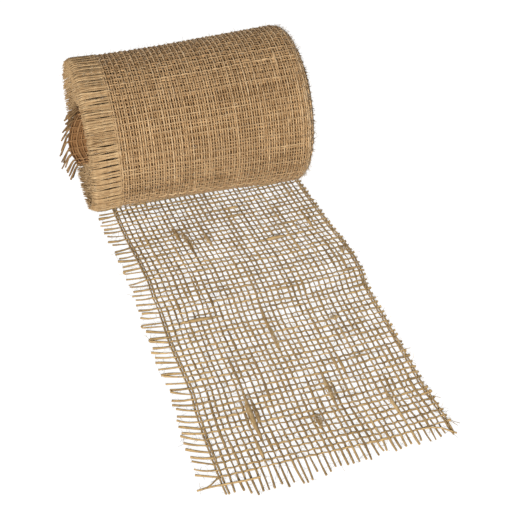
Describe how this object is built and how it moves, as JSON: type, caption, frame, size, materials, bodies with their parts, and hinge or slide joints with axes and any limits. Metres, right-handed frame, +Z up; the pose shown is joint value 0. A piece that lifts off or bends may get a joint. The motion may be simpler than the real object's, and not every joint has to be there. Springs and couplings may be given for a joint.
{
  "type": "coreless ribbon roll",
  "caption": "Coreless roll of open-weave jute ribbon with a long weft fringe at one edge and its tail laid out flat, for wrapping gifts, tying bows and dressing tables.",
  "frame": {"origin": "on the floor, in the middle of the space that the roll and its tail take up", "axes": "+X along the roll away from the long fringe, the tail lies towards -Y, +Z up"},
  "size_m": [0.1644, 0.3269, 0.1041],
  "materials": {
    "jute_warp": "matte hairy jute yarn, grey-brown",
    "jute_weft": "matte hairy jute yarn, tan",
    "jute_roll": "matte open-weave jute cloth",
    "jute_inner": "matte open-weave jute cloth, shaded",
    "jute_fringe": "matte straw-coloured jute yarn ends"
  },
  "bodies": {
    "tail_base": {"base_left_selvedge": "jute_warp", "base_ground_warps": "jute_warp", "base_right_edge_warp": "jute_warp", "base_wefts": "jute_weft"},
    "roll": {"wound_turns": "jute_roll", "wound_left_fringe": "jute_fringe", "wound_right_stubs": "jute_fringe", "inner_turn": "jute_inner", "inner_turn_fringe": "jute_fringe"},
    "tail_middle": {"middle_left_selvedge": "jute_warp", "middle_ground_warps": "jute_warp", "middle_right_edge_warp": "jute_warp", "middle_wefts": "jute_weft"},
    "tail_end": {"end_left_selvedge": "jute_warp", "end_ground_warps": "jute_warp", "end_right_edge_warp": "jute_warp", "end_wefts": "jute_weft", "end_loose_weft": "jute_weft"}
  },
  "joints": [
    {"name": "roll_turn", "type": "hinge", "parent": "tail_base", "child": "roll", "pos_m": [0, 0.11253, 0.05395], "axis": [1, 0, 0], "continuous": true},
    {"name": "tail_fold", "type": "hinge", "parent": "tail_base", "child": "tail_middle", "pos_m": [0, 0.03107, 0.0019], "axis": [-1, 0, 0], "range_deg": [0, 60]},
    {"name": "tail_end_fold", "type": "hinge", "parent": "tail_middle", "child": "tail_end", "pos_m": [0, -0.06202, 0.0019], "axis": [-1, 0, 0], "range_deg": [0, 105]}
  ]
}
